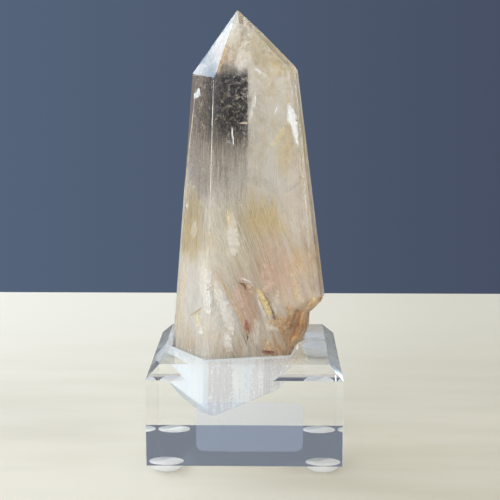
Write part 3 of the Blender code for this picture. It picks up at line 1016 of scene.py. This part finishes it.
def make_haze(name, crystal, inset, low, material):
    """A closed cloud that follows the crystal's surface at a depth, with softened edges."""
    high = TIP_HEIGHT - HAZE_TIP_DROP * inset
    heights = np.linspace(low, high, HAZE_RINGS)
    turns = np.linspace(0, 2 * math.pi, HAZE_SIDES, endpoint=False)
    ways = [Vector((math.cos(turn), math.sin(turn), 0)) for turn in turns]
    reach = np.array([[crystal.reach(crystal_axis(z), way) for way in ways] for z in heights])
    for _ in range(2):
        reach = (np.roll(reach, 1, 1) + 2 * reach + np.roll(reach, -1, 1)) / 4
    verts = []
    for z, row in zip(heights, reach):
        centre = crystal_axis(z)
        for way, distance in zip(ways, row):
            wave = noise.noise((centre + way * distance) / HAZE_WAVE + Vector((inset / MM, 0, 0)))
            verts.append(centre + way * max(distance - inset - abs(wave) * HAZE_DENT, HAZE_LEAST))
    faces = []
    for ring in range(HAZE_RINGS - 1):
        for side in range(HAZE_SIDES):
            beside = (side + 1) % HAZE_SIDES
            low_ring, high_ring = ring * HAZE_SIDES, (ring + 1) * HAZE_SIDES
            faces.append((low_ring + side, low_ring + beside, high_ring + beside, high_ring + side))
    bottom, top = len(verts), len(verts) + 1
    verts += [crystal_axis(low - HAZE_CAP), crystal_axis(high + HAZE_CAP)]
    last_ring = (HAZE_RINGS - 1) * HAZE_SIDES
    for side in range(HAZE_SIDES):
        beside = (side + 1) % HAZE_SIDES
        faces.append((bottom, beside, side))
        faces.append((top, last_ring + side, last_ring + beside))
    mesh = new_mesh(name, verts, faces, material)
    mesh.shade_smooth()
    place_piece(name, mesh)


def make_hair_tree():
    """Geometry nodes that stand a fine tapered hair on each point, along its aim, and comb it wavy."""
    tree = bpy.data.node_groups.new("hair", "GeometryNodeTree")
    for label, kind in (
        ("Roots", "NodeSocketGeometry"), ("Sides", "NodeSocketInt"), ("Rings", "NodeSocketInt"),
        ("Waviness", "NodeSocketFloat"), ("Wave size", "NodeSocketFloat"), ("Seed", "NodeSocketInt"),
        ("Material", "NodeSocketMaterial"),
    ):
        tree.interface.new_socket(label, in_out="INPUT", socket_type=kind)
    tree.interface.new_socket("Hair", in_out="OUTPUT", socket_type="NodeSocketGeometry")
    bench = Bench(tree)
    source = tree.nodes.new("NodeGroupInput").outputs
    def read(label, kind):
        return bench.add("GeometryNodeInputNamedAttribute", {"Name": label}, data_type=kind)
    stem = bench.add("GeometryNodeCurvePrimitiveLine", {"Start": (0, 0, -0.5), "End": (0, 0, 0.5)})
    stem = bench.add("GeometryNodeResampleCurve", {"Curve": stem, "Count": source["Rings"]})
    stem.mode = "COUNT"
    along = bench.add("GeometryNodeSplineParameter").outputs["Factor"]
    taper = bench.times(along, 4.0, bench.math("SUBTRACT", 1.0, along))
    taper = bench.plus(bench.math("POWER", taper, 0.6), 0.1)
    stem = bench.add("GeometryNodeSetCurveRadius", {"Curve": stem, "Radius": taper})
    section = bench.add("GeometryNodeCurvePrimitiveCircle", {"Resolution": source["Sides"], "Radius": 1.0})
    strand = bench.add("GeometryNodeCurveToMesh", {
        "Curve": stem, "Profile Curve": section, "Fill Caps": True,
    })
    turn = bench.add("FunctionNodeAlignRotationToVector", {"Vector": read("aim", "FLOAT_VECTOR")}, axis="Z")
    girth = read("girth", "FLOAT")
    size = bench.add("ShaderNodeCombineXYZ", {0: girth, 1: girth, 2: read("reach", "FLOAT")})
    stood = bench.add("GeometryNodeInstanceOnPoints", {
        "Points": source["Roots"], "Instance": strand,
        "Rotation": turn, "Scale": size,
    })
    chance = bench.add("FunctionNodeRandomValue", {"Seed": source["Seed"]}, data_type="FLOAT")
    toned = bench.add("GeometryNodeStoreNamedAttribute", {
        "Geometry": stood, "Name": "tone", "Value": chance.outputs[1],
    }, data_type="FLOAT", domain="INSTANCE")
    real = bench.add("GeometryNodeRealizeInstances", {"Geometry": toned})
    place = bench.add("GeometryNodeInputPosition").outputs[0]
    waves = bench.noise(bench.vector("DIVIDE", place, source["Wave size"]), 1.0, 1.0, output="Color")
    push = bench.vector("SCALE", bench.vector("SUBTRACT", waves, (0.5, 0.5, 0.5)), source["Waviness"])
    hair = bench.add("GeometryNodeSetPosition", {"Geometry": real, "Offset": push})
    hair = bench.add("GeometryNodeSetMaterial", {"Geometry": hair, "Material": source["Material"]})
    bench.add("NodeGroupOutput", {"Hair": hair})
    return tree


def hair_aim(places, spread, chance):
    """The way the hair runs at each place, in millimetres, with a random spread."""
    lean = LEAN * smooth_step(LEAN_LEFT, LEAN_RIGHT, places[:, 0]) * (places[:, 2] < LEAN_TOP)
    aim = np.stack([-lean, np.zeros(len(places)), np.ones(len(places))], axis=1)
    aim += chance.normal(0, spread, aim.shape)
    return aim / np.linalg.norm(aim, axis=1, keepdims=True)


def grow_hair(name, crystal, tree, material, count, where, reach, girth, spread,
              waviness, wave, depth, rings, seed):
    """Roots of one family of hair, thrown in the crystal where the family grows, and its piece."""
    waviness, wave = waviness * MM, wave * MM
    chance = np.random.default_rng(seed)
    margin = HAIR_MARGIN + waviness / 2
    roots, aims, reaches = [], [], []
    found = 0
    while found < count:
        places = chance.uniform(HAIR_BOX[0], HAIR_BOX[1], (HAIR_BATCH, 3))
        keep = chance.random(HAIR_BATCH) < where(*places.T)
        places = places[keep]
        under = crystal.depth(places * MM) / MM
        places = places[(under > 0) & (chance.random(len(places)) < np.exp(-under / depth))]
        aim = hair_aim(places, spread, chance)
        long = chance.uniform(reach[0], reach[1], len(places))
        keep = np.ones(len(places), bool)
        for share in (-0.5, 0.0, 0.5):
            keep[keep] = crystal.holds((places + aim * long[:, None] * share)[keep] * MM, margin)
        roots.append(places[keep])
        aims.append(aim[keep])
        reaches.append(long[keep])
        found += keep.sum()
    roots, aims, reaches = (np.concatenate(rows)[:count] for rows in (roots, aims, reaches))
    mesh = bpy.data.meshes.new(name + "_roots")
    mesh.from_pydata([tuple(root) for root in roots * MM], [], [])
    for label, kind, field, values in (
        ("aim", "FLOAT_VECTOR", "vector", aims),
        ("reach", "FLOAT", "value", reaches * MM),
        ("girth", "FLOAT", "value", chance.uniform(girth[0], girth[1], count) * MM),
    ):
        mesh.attributes.new(label, kind, "POINT").data.foreach_set(field, values.astype(np.float32).ravel())
    holder = bpy.data.objects.new(name + "_roots", mesh)
    bpy.context.scene.collection.objects.link(holder)
    modifier = holder.modifiers.new("hair", "NODES")
    modifier.node_group = tree
    values = {
        "Sides": HAIR_SIDES, "Rings": rings, "Waviness": waviness, "Wave size": wave, "Seed": seed,
        "Material": material,
    }
    for socket in tree.interface.items_tree:
        if socket.item_type == "SOCKET" and socket.in_out == "INPUT" and socket.name in values:
            modifier[socket.identifier] = values[socket.name]
    evaluated = holder.evaluated_get(bpy.context.evaluated_depsgraph_get())
    grown = bpy.data.meshes.new_from_object(evaluated)
    grown.name = name
    grown.materials.pop(index=0)
    bpy.data.objects.remove(holder)
    place_piece(name, grown)


def where_low(x, y, z):
    """How likely low hair is at a place in millimetres; the next ones say the same of theirs."""
    return 1 - smooth_step(62, 84, z)


def where_right(x, y, z):
    return smooth_step(-1, 5, x) * smooth_step(70, 80, z)


def where_fringe(x, y, z):
    return smooth_step(66, 74, z) * (1 - smooth_step(80, 98, z)) * (1 - 0.8 * smooth_step(-1, 3, x))


def where_window(x, y, z):
    across = 0.12 + 0.88 * smooth_step(-7, -1, x) + 0.5 * (1 - smooth_step(-12, -10, x))
    return smooth_step(76, 86, z) * across


def where_dark(x, y, z):
    foot = (1 - smooth_step(33, 36, z)) * (x < 12)
    natural_face = smooth_step(15.5, 17, x) * smooth_step(46, 50, z) * (1 - smooth_step(66, 70, z))
    return np.maximum(foot, 0.8 * natural_face)


# Tones of hair: each has a colour of its own, and how much of it shows
HAIR_TONES = {
    "cream": (thick(240, 229, 208), 0.4),
    "white": (thick(246, 244, 240), 0.75),
    "plain": (thick(226, 208, 176), 0.15),
    "dark": (thick(96, 66, 44), 0.8),
}

# Families of hair: each has its tone, how many there are and where, its length, its girth, how far its aim
# strays, its waviness and wave size, how deep it reaches, its rings and its seed; lengths are in millimetres
HAIR_FAMILIES = {
    "hair_low_cream": ("cream", 4500, where_low, (8, 22), (0.010, 0.030), 0.03, 0.3, 9, 4.5, 5, 11),
    "hair_low_plain": ("plain", 4500, where_low, (8, 20), (0.012, 0.034), 0.04, 0.3, 9, 4.5, 5, 12),
    "hair_right": ("cream", 1500, where_right, (3, 9), (0.010, 0.022), 0.2, 1.0, 5, 5.0, 5, 13),
    "hair_fringe": ("white", 5000, where_fringe, (4, 12), (0.011, 0.024), 0.07, 0.5, 6, 5.0, 5, 15),
    "hair_flock": ("plain", 4500, where_window, (0.4, 1.8), (0.010, 0.024), 1.0, 0.8, 0.8, 12.0, 4, 14),
    "hair_dark": ("dark", 1000, where_dark, (2, 6), (0.014, 0.036), 0.06, 0.4, 4, 2.0, 5, 16),
}


def paint(node, material):
    node.data.materials.clear()
    node.data.materials.append(material)


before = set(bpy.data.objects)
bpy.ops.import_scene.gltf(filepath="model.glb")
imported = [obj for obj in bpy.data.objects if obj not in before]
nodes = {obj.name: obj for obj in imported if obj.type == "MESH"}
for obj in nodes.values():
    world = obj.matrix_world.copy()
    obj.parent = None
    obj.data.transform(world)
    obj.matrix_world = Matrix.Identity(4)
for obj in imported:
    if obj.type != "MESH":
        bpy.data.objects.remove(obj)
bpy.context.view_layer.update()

bpy.context.scene.view_settings.view_transform = "Standard"
make_camera()
make_floor()
make_surroundings()
for name, settings in LAMPS.items():
    make_lamp(name, *settings)
scene = bpy.context.scene
scene.cycles.max_bounces = 24
scene.cycles.transmission_bounces = 16
scene.cycles.transparent_max_bounces = 40
scene.cycles.diffuse_bounces = 8

crystal = Crystal(nodes["quartz_tower"])
make_tower(nodes["quartz_tower"], crystal, quartz_material())
run_group = hair_run_group()
tint = tint_group(run_group)
haze = haze_group(run_group)
for layer, (inset, low, body, smoke) in HAZES.items():
    material = haze_material("haze_" + layer, tint, haze, body, smoke)
    make_haze("hair_haze_" + layer, crystal, inset, low, material)
for kind in LEAF_KINDS:
    make_leaves(kind, crystal, leaf_material(kind, run_group))

hair = make_hair_tree()
tones = {name: hair_material("hair_" + name, tint, *settings) for name, settings in HAIR_TONES.items()}
for name, (tone, *settings) in HAIR_FAMILIES.items():
    grow_hair(name, crystal, hair, tones[tone], *settings)

make_block(nodes["acrylic_base"], acrylic_material())
make_frost(nodes["acrylic_base"], frost_material())
pad_material = bumper_material()
for name, node in nodes.items():
    if name.startswith("bumper_pad"):
        make_pad(name, node, pad_material)
paint(nodes["label_film"], label_material())
